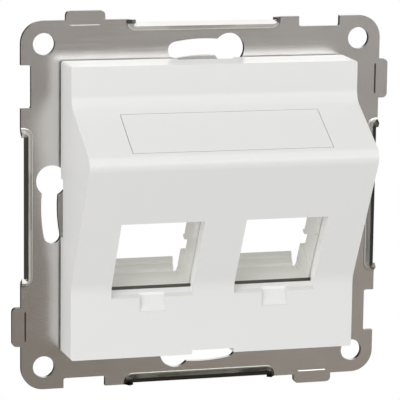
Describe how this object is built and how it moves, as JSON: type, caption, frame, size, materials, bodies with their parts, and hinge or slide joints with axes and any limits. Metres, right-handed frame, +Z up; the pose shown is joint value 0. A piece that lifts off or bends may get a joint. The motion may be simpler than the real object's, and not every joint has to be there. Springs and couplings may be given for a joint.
{
  "type": "keystone faceplate",
  "caption": "Flush-mounted outlet plate with an inclined hood, open ports for snap-in jack modules and a label field, on a stamped steel support ring.",
  "frame": {"origin": "centre of the support ring's rear face, on the centre of its four corner screw holes", "axes": "+X to the right seen from the front, +Y into the wall, +Z up; the hood faces -Y"},
  "size_m": [0.0746, 0.0271, 0.0746],
  "materials": {
    "ring_steel": "satin rolled sheet, bare cut edges",
    "cover_white": "pure white, silk gloss moulding",
    "label_white": "pure white, smooth",
    "carrier_white": "greyish white, as moulded"
  },
  "bodies": {
    "root": {"support_ring": "ring_steel", "cover": "cover_white", "label_plate": "label_white", "keystone_carrier": "carrier_white"}
  },
  "joints": []
}
